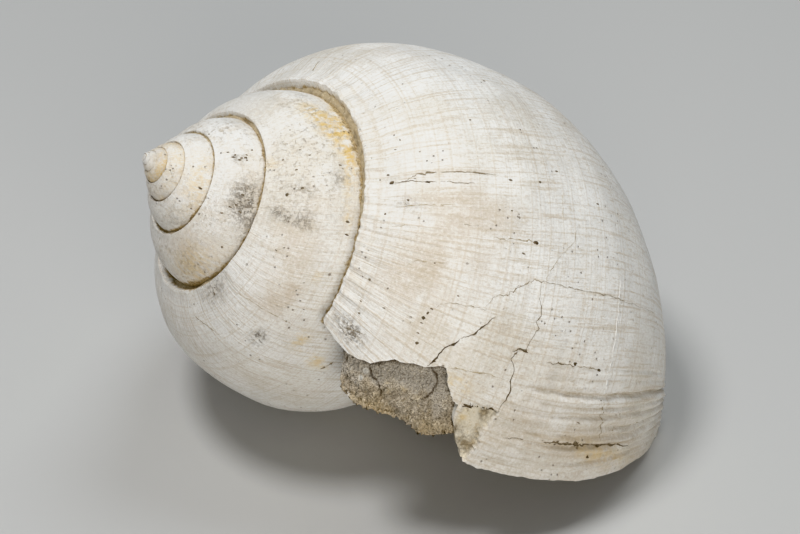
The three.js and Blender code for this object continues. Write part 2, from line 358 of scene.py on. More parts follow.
def furrow_soil(turn, angle):
    g = growth(turn, angle)
    total = 0
    for at, half, low, high, strength in FURROWS:
        if abs(g - at) > 4 * half:
            continue
        broken = 0.5 + 0.9 * wave(angle * 0.13, at * 900)
        middle = at + 0.0008 * wave(angle * 0.14, at * 700, 4)
        shown = ease(low, low + 12, angle) * (1 - ease(high - 8, high, angle))
        total += strength * bell(g, middle, half) * shown * broken
    return min(1, max(0, total))


# Where the channel's floor meets the whorl before, and the distance given to the free lip
SUTURE_LINE = (23.9, -28.7)
FAR_FROM_SUTURE = 50


def suture_turn(turn, place):
    """Turn of the suture beside a point: its own in the channel, the next whorl's on the wall."""
    return turn if place < WALL_STARTS else turn + 1


def suture_gap(turn, point, place):
    """Millimetres from the line where two whorls meet, read larger on the small whorls."""
    owner = suture_turn(turn, place)
    if owner > 0.015:
        return FAR_FROM_SUTURE
    out, along = out_and_along(turn, point)
    line_out, line_along = out_and_along(owner, SUTURE_LINE)
    return math.hypot(out - line_out, along - line_along) / width_at(owner) ** 0.62


def suture_soil(turn, gap, place):
    owner = suture_turn(turn, place)
    reach = 0.8 + 1.4 * wave(owner * 16, 0, 3) + 0.8 * wave(owner * 60, 0, 8)
    reach += 2.4 * bell(owner, -0.86, 0.06) + 2 * bell(owner, -0.22, 0.07)
    reach += 1.4 * bell(owner, -1.87, 0.06)
    if place < WALL_STARTS:
        reach = max(reach, 1.7 + 1.5 * wave(owner * 40, 2))
    return (1 - ease(0.5, 0.9 + max(0.3, reach), gap)) * (0.5 + 0.5 * ease(-3, -1.8, owner))


# Painted shade: a dark line in the crevice where two whorls meet, darkest at the suture
def suture_shadow(turn, gap, place):
    owner = suture_turn(turn, place)
    half = 0.35 + 0.7 * wave(owner * 24, 5) + 0.5 * bell(owner, -0.87, 0.05)
    return (1 - ease(0.15, 0.35 + max(0.12, half), gap)) * (0.6 + 0.4 * ease(-3.6, -1.4, owner))


# Stained places: thousandths of a turn, angle, half width in thousandths and in degrees, strength
OCHRE = [
    (-1201.5, 38, 24, 7, 1.3), (-1225, 45, 22, 8, 1), (-1145, 80, 10, 5, 0.6), (-1165, 32, 20, 4, 0.9),
    (-1200, 27, 50, 4, 0.8), (-217.7, 85, 50, 3, 0.6), (-160, 85, 40, 3, 0.6), (-100, 84, 30, 3, 0.4),
    (-1091.7, 29.6, 6, 3, 0.9), (-1026.9, 37.5, 6, 3, 0.5), (-1062.5, 50, 5, 2, 0.6),
    (-956.3, 24, 12, 5, 0.7), (-944, 2, 8, 9, 0.7), (-19.3, 36.8, 5, 5, 0.8), (-4, 30, 4, 3, 0.7),
    (-1885, 45, 60, 25, 0.55), (-3050, 50, 120, 30, 0.5), (-4900, 20, 900, 70, 1),
    (-1140, 33, 30, 4, 0.5), (-1250, 50, 20, 8, 0.4), (-17.6, -38, 6, 18, 0.6), (-1235, 30, 30, 5, 0.7),
    (-450, 40, 40, 20, 0.4), (-600, 0, 50, 20, 0.4),
]
GREY = [
    (-2067, 46, 34, 14, 1.3), (-926.5, 44.6, 9, 3.6, 1.6), (-6.2, 74, 7, 4, 1.5),
    (-1135, 39, 12, 5, 0.45), (-1070, 70, 6, 7, 0.8), (-1075, 57, 8, 8, 0.9), (-1110, 62, 12, 8, 0.4),
    (-909, 78, 30, 6, 0.7), (-2155, 60, 12, 8, 0.5), (-2900, 45, 50, 14, 0.4), (-117, 69, 6, 4, 0.4),
    (-2020, 30, 40, 9, 0.5),
]
BEIGE = [
    (-1088, 52, 18, 6, 0.8), (-5000, 10, 1100, 80, 0.9), (-2100, 35, 100, 22, 0.6),
    (-1025, 56, 50, 12, 1.2), (-300, 55, 40, 16, 0.4), (-125, 38, 12, 9, 0.5), (-985, 50, 30, 10, 0.8),
    (-58, 65, 30, 13, 0.8), (-110, 48, 28, 13, 0.8), (-134, 56, 20, 10, 0.6), (-85, 58, 30, 10, 0.5),
    (-1885, 55, 80, 26, 1.2), (-17.6, -38, 20, 25, 0.8), (-20, 0, 30, 25, 0.5), (-650, 20, 90, 30, 0.7),
    (-400, 0, 60, 40, 0.5), (-800, 50, 50, 20, 0.6), (-250, -30, 60, 30, 0.6), (-1500, 50, 100, 20, 0.6),
]

# Soil caught on the spalled flake, in the same order
FLAKE_SOIL = [
    (8.5, 25.6, 6, 3.8, 1.8), (5, 28.8, 4, 2.2, 1.4), (10.5, 21.5, 5, 2.6, 1.6), (2, 20.6, 5, 2, 1.4),
    (-11.5, 22.2, 4, 2.4, 1.7),
]


def stain(places, turn, angle):
    total = 0
    for at, across, half_turn, half_angle, strength in places:
        total += strength * bell(turn * 1000, at, half_turn) * bell(angle, across, half_angle)
    return min(1, total)


def value_layers(bm, keys):
    return {key: bm.verts.layers.float.new(key) for key in keys}


def new_grid(columns, rows, keys):
    bm = bmesh.new()
    bmesh.ops.create_grid(bm, x_segments=columns, y_segments=rows, size=1)
    return bm, value_layers(bm, keys)


def grid_places(bm, columns, rows):
    """Each point of a grid, with its column and row."""
    for vert in bm.verts:
        yield vert, round((vert.co.x + 1) / 2 * columns), round((vert.co.y + 1) / 2 * rows)


def close_up(bm, join):
    """Join points that fall together, and fill the open ends."""
    bmesh.ops.remove_doubles(bm, verts=bm.verts, dist=join)
    bmesh.ops.holes_fill(bm, edges=[e for e in bm.edges if e.is_boundary], sides=0)


def into_mesh(bm, name):
    mesh = bpy.data.meshes.new(name)
    bm.to_mesh(mesh)
    bm.free()
    return mesh


def placed(name, data):
    thing = bpy.data.objects.new(name, data)
    bpy.context.scene.collection.objects.link(thing)
    return thing


def finish_mesh(bm, name, material, replaces=None, sharp=None):
    bmesh.ops.recalc_face_normals(bm, faces=bm.faces)
    bmesh.ops.scale(bm, vec=(MM, MM, MM), verts=bm.verts)
    mesh = into_mesh(bm, name)
    mesh.shade_smooth()
    if sharp:
        mesh.set_sharp_from_angle(angle=math.radians(sharp))
    mesh.materials.append(material)
    piece = placed(name, mesh)
    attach(piece, "root")
    if replaces:
        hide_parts(replaces)
    return piece


def rest_on_floor(bm):
    for vert in bm.verts:
        vert.co.z = max(0, vert.co.z)


# Values kept at each point of the shell for its material to read
SURFACE_VALUES = ("growth", "across", "soil", "furrow", "crevice_shade", "ochre", "grey", "beige",
                  "spall", "edge")
SHARP_ANGLE = 50


def shell_whorls(material):
    """The whole coil: outer face, broken edge, and the inner face down into a pocket."""
    plan = row_plan()
    inner = inner_points()
    columns, rows = len(stations) - 1, len(plan) - 1
    bm, layers = new_grid(columns, rows, SURFACE_VALUES)
    for vert, j, row in grid_places(bm, columns, rows):
        part, share = plan[row]
        point, angle, plain_end, place = stations[j]
        end = lip_end(angle, plain_end, place)
        turn = row_turn(part, share, end)
        buried = ease(WALL_ENDS + 2, WALL_ENDS + 5, place)
        height = relief(turn, angle) * (ease(WALL_STARTS - 3, WALL_STARTS, place) * (1 - buried))
        flake = flake_share(turn, angle)
        outer = pushed(point, height - flake * FLAKE_DEPTH) + rim_wear(turn, place)
        if part == "edge":
            outer = outer.lerp(inner[j], share)
            turn += EDGE_ROUGHNESS * wave(angle * 0.5, share * 2.5, 9) * (1 - share) * share
        if part == "inside":
            turn = end + (POCKET_TURN - end) * share
            outer = inner[j]
        vert.co = coil(turn, outer)
        gap = suture_gap(turn, point, place)
        values = {
            "growth": growth(turn, angle),
            "across": angle / 100,
            "soil": suture_soil(turn, gap, place),
            "furrow": furrow_soil(turn, angle),
            "crevice_shade": suture_shadow(turn, gap, place),
            "beige": stain(BEIGE, turn, angle),
            "ochre": stain(OCHRE, turn, angle),
            "grey": max(stain(GREY, turn, angle), flake * stain(FLAKE_SOIL, turn, angle)),
            "spall": flake,
            "edge": 1 - flake if part == "edge" else 0,
        }
        for key, value in values.items():
            vert[layers[key]] = value
    close_up(bm, 1e-5)
    rest_on_floor(bm)
    return finish_mesh(bm, "shell_whorls", material, "shell", sharp=SHARP_ANGLE)


# Knob of shell that closes the navel
CALLUS_RADIUS = 10.5
CALLUS_SWELL = 1.04
CALLUS_TURN = -0.1
CALLUS_POINT = (1.5, -64)


def navel_callus(material):
    """A lumpy tongue with rings of growth, flat towards the base and drawn out towards the apex."""
    bm = bmesh.new()
    layers = value_layers(bm, ("growth", "across", "ochre", "beige"))
    bmesh.ops.create_icosphere(bm, subdivisions=6, radius=CALLUS_RADIUS)
    for vert in bm.verts:
        n = vert.co.normalized()
        along = n.dot(axis)
        ring = along * 0.12 + 0.012 * noise(n * 2)
        lumps = 1 + 0.16 * noise(n * 1.1) + 0.05 * noise(n * 3) + 0.006 * wave(ring * 200, 0, 3)
        drawn = 0.55 * ease(0, 1, along) - 0.2
        vert.co = (n + axis * along * drawn) * CALLUS_RADIUS * CALLUS_SWELL * lumps
        vert[layers["growth"]] = ring
        vert[layers["across"]] = 0.6 * n.dot(uphill)
        vert[layers["ochre"]] = 0.7 * ease(0.1, 0.5, noise(n * 1.2 + Vector((4, 0, 0))))
        vert[layers["beige"]] = ease(-0.2, 0.4, noise(n * 1.8))
    bmesh.ops.translate(bm, vec=coil(CALLUS_TURN, CALLUS_POINT), verts=bm.verts)
    return finish_mesh(bm, "navel_callus", material)


# Sand that set in the mouth: gap to the wall, and the turn at which it ends by angle
SAND_GAP = 0.1
SAND_EDGE = [
    (-79, -0.036), (-68, -0.031), (-56, -0.026), (-43, -0.021), (-30, -0.016), (-17, -0.011),
    (-4, -0.007), (9, -0.002), (19, 0.003), (27, 0.008), (33, 0.0155), (38, 0.022), (43, 0.0225),
    (47.5, 0.021), (52.5, 0.0255), (58.5, 0.0315), (64.5, 0.038), (69, 0.039), (72.5, 0.034),
    (75.5, 0.019), (79, 0.012),
]
SAND_OTHER_SIDE = [
    (26.7, -90.2, -0.05), (20.9, -90.6, -0.05), (16.5, -88.1, -0.05), (13.9, -82.1, -0.05),
    (12.7, -73.6, -0.05), (11.8, -60, -0.05), (13, -50, -0.04), (18, -41, -0.02), (21.5, -33.4, 0.008),
    (24.6, -31.2, 0.011),
]
SAND_BACK = -0.26
SAND_MIDDLE = Vector((26, -66))
SAND_ROWS_BACK, SAND_ROWS_SIDE, SAND_ROWS_FACE = 14, 52, 56
SAND_FINE_FROM = -0.035
SAND_OTHER_STEPS = 30
SAND_DISH = 0.012
SAND_ROUNDING = 0.7
SAND_SINK = 0.35
SAND_CRACK_DEPTH = 0.15


def sand_line():
    """Closed section line of the sand, with the turn where it ends, close together near the suture."""
    line = []
    angle = 79
    while angle > -79:
        line.append((wall_point(angle, WALL + SAND_GAP), pair_value(SAND_EDGE, angle)))
        angle -= 0.42 if angle > 20 else 1.6
    for k in range(SAND_OTHER_STEPS + 1):
        place = k / SAND_OTHER_STEPS * (len(SAND_OTHER_SIDE) - 1)
        i = min(int(place), len(SAND_OTHER_SIDE) - 2)
        a, b = SAND_OTHER_SIDE[i], SAND_OTHER_SIDE[i + 1]
        x, y, turn = (a[k] + (b[k] - a[k]) * (place - i) for k in range(3))
        line.append((Vector((x, y)), turn))
    line.append(line[0])
    return line


# Cracks that run over the sand, as (turn, angle) along each
SAND_CRACKS = [[(0.0069, 66.3), (0.0109, 64.4), (0.012, 60.1), (0.0179, 58.2)],
               [(-0.018, 47.9), (-0.016, 45.2), (-0.0098, 43.8), (-0.0017, 44.5), (0.0025, 45.6)],
               [(0.0149, 73.4), (0.0196, 72.9)]]


# Millimetres on the sand's face for one turn, and for one degree round the section
SAND_SCALE = (290, 0.5)


def on_sand(place):
    return Vector((place[0] * SAND_SCALE[0], place[1] * SAND_SCALE[1]))


def sand_crack(turn, angle):
    """1 in the middle of a crack in the sand, 0 away from it."""
    at = on_sand((turn, angle))
    at += Vector((wave(angle * 0.5, turn * 300, 1), wave(angle * 0.5, turn * 300, 5))) * 0.35
    nearest = 9
    for path in SAND_CRACKS:
        for a, b in zip(path, path[1:]):
            start = on_sand(a)
            leg = on_sand(b) - start
            share = min(1, max(0, (at - start).dot(leg) / leg.length_squared))
            nearest = min(nearest, (at - start - leg * share).length)
    return 1 - ease(0.07, 0.28, nearest)


def sand_lumps(p, smooth):
    """Outward swell of the sand: broad lumps, crumbs and single grains, calmer where smooth is 1."""
    swell = 0.6 * noise(p * 0.3) + 0.45 * (1 - 0.6 * smooth) * noise(p * 0.75)
    crumb = abs(noise(p * 1.7 + Vector((7, 0, 0))))
    grain = noise(p * 4.2)
    return swell * (1 - 0.3 * smooth) + (1.15 * crumb + 0.26 * grain) * (1 - 0.88 * smooth)


def mouth_sand(material):
    """The sand from its back end inside the whorl, along the wall, and over its rounded face."""
    line = sand_line()
    columns, rows = len(line) - 1, SAND_ROWS_BACK + SAND_ROWS_SIDE + SAND_ROWS_FACE
    bm, layers = new_grid(columns, rows, ("smooth", "crack"))
    smooth, crack = layers["smooth"], layers["crack"]
    for vert, column, row in grid_places(bm, columns, rows):
        point, end = line[column]
        rounded = 0
        face = 0
        if row < SAND_ROWS_BACK:
            turn = SAND_BACK + (SAND_FINE_FROM - SAND_BACK) * row / SAND_ROWS_BACK
        elif row < SAND_ROWS_BACK + SAND_ROWS_SIDE:
            u = (row - SAND_ROWS_BACK) / SAND_ROWS_SIDE
            turn = SAND_FINE_FROM + (end - SAND_FINE_FROM) * u
            rounded = ease(0.82, 1, u)
        else:
            face = (row - SAND_ROWS_BACK - SAND_ROWS_SIDE) / SAND_ROWS_FACE
            rounded = 1 - ease(0, 0.1, face)
            turn = end * (1 - face) - SAND_DISH * face
        inwards = Vector(point).lerp(SAND_MIDDLE, face ** 1.3)
        inwards = pushed(inwards, -SAND_ROUNDING * rounded * (1 - face))
        angle = section_angle(point)
        lip = pair_value(LIP_EDGE, angle)
        beyond = turn - lip + 0.012 * wave(angle * 0.25, turn * 90)
        vert[smooth] = ease(34, 42, angle) * (1 - ease(0.014, 0.024, beyond)) * (1 - face)
        if face == 0 and row > SAND_ROWS_BACK:
            # Painted shade: a dark line on the sand just under the lip's edge, kept in the crack value
            # beside the real cracks
            lip_shade = 1 - ease(0.0005, 0.0035, turn - lip)
            vert[crack] = max(sand_crack(turn, angle), 0.8 * lip_shade)
        vert.co = coil(turn, inwards)
    close_up(bm, 1e-4)
    bmesh.ops.recalc_face_normals(bm, faces=bm.faces)
    bm.normal_update()
    for vert in bm.verts:
        swell = sand_lumps(vert.co, vert[smooth]) - SAND_SINK - SAND_CRACK_DEPTH * vert[crack]
        vert.co += vert.normal * swell
    rest_on_floor(bm)
    return finish_mesh(bm, "mouth_sand_fill", material, "mouth_sand")


# Cracks filled with soil: (thousandths of a turn, angle) along each, its width, and how dark it is.
# Below 0 it is a scratch that shows fresh white shell.
CRACKS = [
    ([(-19.6, 48.9), (-25.1, 47.7), (-32.1, 46.8), (-43.8, 42.7)], 0.5, 1),
    ([(-43.8, 42.7), (-46, 41.7), (-49.8, 38.6), (-55.3, 37), (-61.4, 34.6), (-65.3, 32.8)], 0.3, 0.9),
    ([(-65.3, 37.8), (-72, 36.6), (-76.5, 34.9), (-79.9, 30.3), (-85.2, 27.6), (-90.4, 23.7),
      (-94.5, 20.4), (-95.7, 16), (-97.8, 8.3), (-99.5, 0), (-102.2, -9), (-106, -20.8), (-107.2, -28.5),
      (-109.2, -36.2), (-115.7, -53.3)], 0.16, 0.6),
    ([(-95.3, 16.7), (-85, 15.9), (-76.9, 13.5), (-72.4, 15.5), (-69.4, 13.2), (-63, 15.3), (-56, 16.2),
      (-53.1, 20.2)], 0.2, 0.8),
    ([(-53.1, 20.2), (-50.9, 20), (-46.9, 21.6), (-43.7, 19), (-36.4, 18), (-30.2, 16.4), (-22.8, 17.2),
      (-16.2, 17.7)], 0.3, 0.9),
    ([(-16.2, 17.7), (-16.4, 20.5), (-14.7, 24.5), (-11.8, 28.5), (-9.5, 32)], 0.55, 1),
    ([(-137.8, -0.7), (-127.3, 1.3), (-115.2, 8.3), (-105.3, 12.4), (-97.5, 14.7)], 0.1, 0.4),
    ([(-136.3, 70.2), (-142, 67.1), (-144.8, 62.5), (-147.5, 56), (-150.5, 46.6),
      (-153, 37.6)], 0.32, 0.6),
    ([(-134.2, 73.4), (-136.5, 68.7), (-137.3, 63.2), (-139.9, 57.8), (-139.7, 54.5),
      (-142, 47.6)], 0.36, 0.75),
    ([(-113.1, 72.9), (-118.8, 63.8), (-123.6, 54.3)], 0.15, 0.2),
    ([(-95.8, 73.5), (-100.6, 68.4)], 0.15, 0.2),
    ([(-111.6, 50.8), (-112.1, 48.7)], 0.2, 0.6),
    ([(-109.3, 40), (-111.3, 35.3), (-114.3, 29), (-116.7, 22)], 0.22, 0.3),
    ([(-75.4, 66.2), (-80, 59.4), (-84.2, 53.2)], 0.15, 0.2),
    ([(-74.7, 69.3), (-73.4, 64.4)], 0.15, 0.3),
    ([(-53.5, 54.6), (-60.6, 49.9), (-64.2, 43.2), (-66.9, 37)], 0.12, 0.5),
    ([(-158.5, 6), (-144.3, 7.3), (-123.7, 6.6)], 0.09, 0.3),
    ([(-53.8, 5), (-56.4, -1.7), (-59.6, -9.1)], 0.32, 0.8),
    ([(-59.8, -10.4), (-63.2, -22.4)], 0.22, 0.6),
    ([(-51.2, 22.2), (-54.2, 19.1), (-54.2, 15.2)], 0.35, 0.9),
    ([(-12.9, -8.3), (-15.7, -14.6), (-18.7, -22.3), (-21, -31.2), (-24.6, -40.3),
      (-27.4, -52.9)], 1.4, 0.8),
    ([(-5.1, 10.1), (-8.3, 3.7), (-9.6, 1.3)], 0.3, 0.8),
    ([(-33.3, -37.4), (-38.1, -47.2), (-43.2, -57.1)], 0.2, 0.3),
    ([(-118.8, -26.6), (-100.5, -26.5), (-80.1, -27.1), (-57.1, -28.3), (-48.3, -28.8)], 0.5, -1),
    ([(-47.3, -29.2), (-34.6, -32.5), (-26.2, -35.2)], 0.24, 0.4),
    ([(-25.2, 42.7), (-28, 38.7), (-29.8, 35), (-33.7, 27.4), (-34.7, 20.5)], 0.3, 0.25),
    ([(-336.4, 72.1), (-331, 76), (-326.5, 79)], 0.4, 0.5),
    ([(0.5, 79), (-3.7, 76.8), (-7.4, 73.9), (-12.5, 69)], 0.12, 0.5),
    ([(-940.2, 72.6), (-953.8, 62.3), (-962.6, 46.7), (-967.2, 33.2)], 0.1, 0.3),
    ([(-850.7, 71.2), (-871.2, 64.9), (-884.2, 57.8)], 0.16, 0.5),
    ([(-938.5, -3.6), (-943.5, -5.6), (-949, -7.2), (-954, -7.8)], 0.45, 0.5),
    ([(-1108.6, 63.6), (-1112.1, 59.9), (-1110.6, 55.7)], 0.2, 0.3),
]

# Pits with soil in them: thousandths of a turn, angle, size in millimetres
PITS = [
    (-134.2, 74.3, 0.5), (-137.3, 63.2, 0.6), (-151.8, 33, 0.35), (-157.6, 18.6, 0.4), (-171.2, 7.5, 0.4),
    (-160.7, -14.8, 0.35), (-130.6, 33.1, 0.3), (-120.4, 69, 0.4), (-116.3, 21.5, 0.7),
    (-106.9, 26.6, 0.4), (-115.2, 77.8, 0.35), (-36.3, 68.1, 0.3), (-66.7, 48, 0.3), (-44.4, 56, 0.5),
    (-48.5, 55.4, 0.4), (-52, 54.7, 0.3), (-40.9, 56, 0.3), (-34, 56, 0.3), (-80.6, 57.8, 0.3),
    (-60.1, -9, 0.55), (-63.2, -22.4, 0.7), (-30.7, 75.4, 0.25), (-21.8, 74.4, 0.3), (-28.1, 55, 0.4),
    (-2041.6, 87.6, 0.5), (-3046.1, 47.3, 0.4), (-2155.6, 64.8, 0.4), (-2149.3, 58, 0.35),
    (-2170.2, 69.3, 0.3), (-2156.3, 51.8, 0.35), (-1078.4, 28.1, 0.45), (-1098.1, 69, 0.45),
    (-1091.7, 29.6, 0.4), (-14.3, -32.3, 0.5), (-1967.1, 45.2, 0.3), (-905.2, 77.1, 0.4),
    (-1112.8, 61.1, 0.4), (-137.3, 78.5, 0.3), (-165.7, 72.8, 0.3), (-194.2, 45.3, 0.3),
    (-195.8, 22.6, 0.3), (-1289.3, 15.9, 0.3), (-31, -20, 0.3), (-47.5, -28, 0.25), (-240, 30, 0.3),
    (-330, -12, 0.35), (-2161.3, 62.8, 0.3), (-2154.9, 56, 0.35), (-2151.8, 50.8, 0.3),
    (-2164.1, 50.6, 0.25), (-2178.8, 44.2, 0.3), (-1151.6, 73.2, 0.25), (-1167.5, 63.3, 0.25),
    (-1136.1, 65.8, 0.3), (-1160.4, 57.8, 0.25), (-1153.6, 39, 0.3), (-1025.6, 65, 0.3),
    (-1204.3, 66.5, 0.25), (-145.6, 78.9, 0.3), (-167.9, 76.9, 0.3), (-141.8, 75.6, 0.3),
    (-105.8, 75.7, 0.3), (-175, 70.7, 0.25), (-162.4, 65.1, 0.25), (-49.2, 75.2, 0.3),
    (-2023.1, 62.3, 0.3), (-2042.9, 57.8, 0.35), (-2076.3, 49.7, 0.3), (-2052.3, 53.1, 0.3),
    (-2043.8, 46.9, 0.3), (-2071.3, 43.2, 0.3), (-11.2, 30.2, 0.9), (-420, 26, 0.4), (-550, 12, 0.35),
    (-610, -30, 0.4), (-700, 44, 0.35), (-780, 8, 0.3),
]
PIT_SPREAD = 1.15


# Small steps used to find the surface's directions
STEP_TURN, STEP_ANGLE = 0.002, 0.5


def surface_frame(turn, angle):
    """A point on the finished surface, a step forwards, a step across, and straight up from it."""
    here = surface(turn, angle)
    forwards = surface(turn + STEP_TURN, angle) - here
    across = surface(turn, angle + STEP_ANGLE) - here
    up = forwards.cross(across).normalized()
    if up.dot(here - coil(turn, CENTRE)) < 0:
        up = -up
    return here, forwards, across, up


def along_path(path, share):
    """Turn and angle at a share of a path, and the leg it falls on."""
    place = share * (len(path) - 1)
    i = min(int(place), len(path) - 2)
    (turn, angle), (next_turn, next_angle) = path[i], path[i + 1]
    leg_turn, leg_angle = next_turn - turn, next_angle - angle
    return turn + leg_turn * (place - i), angle + leg_angle * (place - i), leg_turn, leg_angle


def gather(whole, part):
    mesh = into_mesh(part, "part")
    whole.from_mesh(mesh)
    bpy.data.meshes.remove(mesh)


# Millimetres on the last whorl for one turn and one degree, and the strips' row length and depths
WHORL_SCALE = (250, 0.45)
STRIP_ROW = 0.3
STRIP_SUNK, STRIP_PROUD = 0.35, 0.03


def crack_strip(number, path, width, dark):
    """A thin closed strip that fills one crack, pinched where the crack is broken."""
    reach = sum(math.hypot((b[0] - a[0]) * WHORL_SCALE[0], (b[1] - a[1]) * WHORL_SCALE[1])
                for a, b in zip(path, path[1:]))
    rows = max(8, int(reach / STRIP_ROW))
    strip, layers = new_grid(3, rows, ("darkness",))
    for vert, side, _ in grid_places(strip, 3, rows):
        share = (vert.co.y + 1) / 2
        turn, angle, leg_turn, leg_angle = along_path(path, share)
        jag = Vector((share * reach * 0.9, number * 7, 0))
        turn += 0.0011 * noise(jag) + 0.0005 * noise(jag * 3.1)
        angle += 0.7 * noise(jag + Vector((0, 3, 0))) + 0.3 * noise(jag * 2.7)
        here, forwards, across, up = surface_frame(turn, angle)
        direction = (forwards * (leg_turn / STEP_TURN) + across * (leg_angle / STEP_ANGLE)).normalized()
        aside = up.cross(direction).normalized()
        swell = ease(-0.35, 0.3, noise(jag * 0.8 + Vector((0, 0, 4))))
        swell *= 0.7 + noise(jag * 2.2)
        least = 0.3 if dark > 0.55 else 0.08
        ends = min(1, 6 * share + 0.05, 6 * (1 - share) + 0.05)
        half = 0.5 * width * max(least, swell) * ends
        vert[layers["darkness"]] = dark
        if side in (0, 3):
            vert.co = here - up * STRIP_SUNK
        else:
            vert.co = here + up * STRIP_PROUD + aside * (half if side == 1 else -half)
    close_up(strip, 1e-4)
    return strip


def pit_plug(turn, angle, size):
    plug = bmesh.new()
    darkness = plug.verts.layers.float.new("darkness")
    bmesh.ops.create_icosphere(plug, subdivisions=2, radius=0.5 * size)
    here, forwards, across, up = surface_frame(turn, angle)
    first = forwards.normalized()
    second = up.cross(first)
    stretch = 1 + 0.6 * wave(turn * 300, angle, 3)
    for vert in plug.verts:
        uneven = 1 + 0.9 * noise(vert.co * (1.5 / size) + Vector((angle, turn * 100, 0)))
        x, y, z = 0.75 * vert.co.x * uneven / stretch, 1.25 * vert.co.y * uneven * stretch, vert.co.z * 0.35
        vert.co = here + first * x + second * y + up * (z - 0.05 * size)
        vert[darkness] = min(1, 0.5 + 0.8 * size)
    return plug


# Soil lying on the channel's floor: its outline in the section, and the turns it runs between
CHANNEL_SOIL = [(23.3, -29.6), (23.55, -28.2), (24, -28), (24.5, -27.9), (25, -27.8),
                (25.7, -27.6), (25.6, -29.4)]
CHANNEL_SOIL_FROM, CHANNEL_SOIL_TO = -2.4, -0.004
CHANNEL_SOIL_ROWS = 900
CHANNEL_SOIL_SUNK = 0.45


def channel_strip():
    """A lumpy closed ribbon of soil along the suture, which sinks below the floor where it is missing."""
    last = len(CHANNEL_SOIL) - 1
    strip, layers = new_grid(last, CHANNEL_SOIL_ROWS, ("darkness",))
    for vert, side, _ in grid_places(strip, last, CHANNEL_SOIL_ROWS):
        turn = CHANNEL_SOIL_FROM + (CHANNEL_SOIL_TO - CHANNEL_SOIL_FROM) * (vert.co.y + 1) / 2
        amount = 0.4 + 0.9 * wave(turn * 22, 1) + 0.5 * bell(turn, -0.2, 0.06)
        lump = Vector((turn * 260 * width_at(turn), side * 0.9, 0))
        rise = min(0.9, amount) + 0.35 * noise(lump) + 0.2 * noise(lump * 2.7)
        x, y = CHANNEL_SOIL[side]
        if 0 < side < last:
            y += rise - CHANNEL_SOIL_SUNK
        vert.co = coil(turn, (x, y))
        vert[layers["darkness"]] = 0.05 + 0.55 * ease(0, 0.5, noise(lump * 0.6))
    close_up(strip, 1e-4)
    return strip


def soil_in_cracks(material):
    bm = bmesh.new()
    bm.verts.layers.float.new("darkness")
    for number, (path, width, dark) in enumerate(CRACKS):
        gather(bm, crack_strip(number, [(turn / 1000, angle) for turn, angle in path], width, dark))
    for turn, angle, size in PITS:
        gather(bm, pit_plug(turn / 1000, angle, PIT_SPREAD * size))
    gather(bm, channel_strip())
    return finish_mesh(bm, "soil_in_cracks", material)


# Materials

TINTS = {
    "chalk white": (0.81, 0.805, 0.78), "warm chalk": (0.72, 0.685, 0.615), "beige": (0.61, 0.535, 0.44),
    "bright patch": (0.9, 0.895, 0.87), "worn beige": (0.66, 0.585, 0.48), "fleck": (0.44, 0.355, 0.24),
    "growth line": (0.52, 0.43, 0.31), "thread": (0.58, 0.5, 0.39), "mottle": (0.55, 0.46, 0.34),
    "dark shell grain": (0.45, 0.375, 0.27), "white shell grain": (0.94, 0.935, 0.92),
    "spall cream": (0.8, 0.74, 0.61), "spall tan": (0.66, 0.57, 0.42), "ochre": (0.7, 0.5, 0.19),
    "smudge": (0.37, 0.325, 0.265), "dark grit": (0.29, 0.225, 0.135), "pale grit": (0.5, 0.41, 0.27),
    "grey speck": (0.17, 0.13, 0.085), "furrow soil": (0.36, 0.28, 0.165),
    # The crevice tint is painted shade at the suture
    "pale earth": (0.6, 0.48, 0.28), "dark earth": (0.36, 0.265, 0.14), "crevice_shade": (0.125, 0.09, 0.055),
    "broken edge": (0.8, 0.785, 0.73), "pinhole": (0.2, 0.15, 0.1),
    "sand": (0.68, 0.55, 0.36), "dull sand": (0.55, 0.46, 0.335), "grey sand": (0.56, 0.49, 0.39),
    "crumb": (0.78, 0.66, 0.46), "smooth sand": (0.53, 0.49, 0.43), "pale grain": (0.84, 0.76, 0.61),
    # The sand crack tint paints the sand's real cracks and also the painted shade under the lip
    "dark grain": (0.16, 0.12, 0.075), "white chip": (0.8, 0.77, 0.7), "sand crack and lip shade": (0.09, 0.065, 0.04),
    "soil": (0.55, 0.46, 0.31), "pale soil": (0.68, 0.6, 0.45), "dark soil": (0.1, 0.075, 0.045),
    "brown soil": (0.21, 0.16, 0.1), "scratch": (0.86, 0.85, 0.82), "floor": (0.5, 0.5, 0.49),
}


class Nodes:
    """A node tree with short ways to add to it. A value is a socket, a number or the name of a tint."""

    def __init__(self, tree):
        self.tree = tree

    def add(self, kind, **values):
        """Add a node and set its properties, or its inputs where no property has that name."""
        node = self.tree.nodes.new(kind)
        for key, value in values.items():
            if hasattr(node, key):
                setattr(node, key, value)
            else:
                node.inputs[key.replace("_", " ")].default_value = value
        return node

    def feed(self, socket, value):
        if isinstance(value, bpy.types.NodeSocket):
            self.tree.links.new(value, socket)
        elif isinstance(value, str):
            socket.default_value = (*TINTS[value], 1)
        else:
            socket.default_value = value

    def mixed(self, factor, a, b):
        """Colour a turned to colour b by a factor."""
        node = self.add("ShaderNodeMix", data_type="RGBA", blend_type="MIX", clamp_factor=True)
        for k, value in ((0, factor), (6, a), (7, b)):
            self.feed(node.inputs[k], value)
        return node.outputs[2]

    def maths(self, operation, a, b, clamp=False):
        node = self.add("ShaderNodeMath", operation=operation, use_clamp=clamp)
        self.feed(node.inputs[0], a)
        self.feed(node.inputs[1], b)
        return node.outputs[0]

    def times(self, a, b):
        return self.maths("MULTIPLY", a, b)

    def plus(self, a, b, clamp=False):
        return self.maths("ADD", a, b, clamp)

    def minus(self, a, b):
        return self.maths("SUBTRACT", a, b)

    def spread(self, value, low, high, to_low=0, to_high=1):
        """The range from low to high eased over to a new range, and held beyond its ends."""
        node = self.add("ShaderNodeMapRange", clamp=True, interpolation_type="SMOOTHSTEP")
        for k, number in enumerate((value, low, high, to_low, to_high)):
            self.feed(node.inputs[k], number)
        return node.outputs[0]


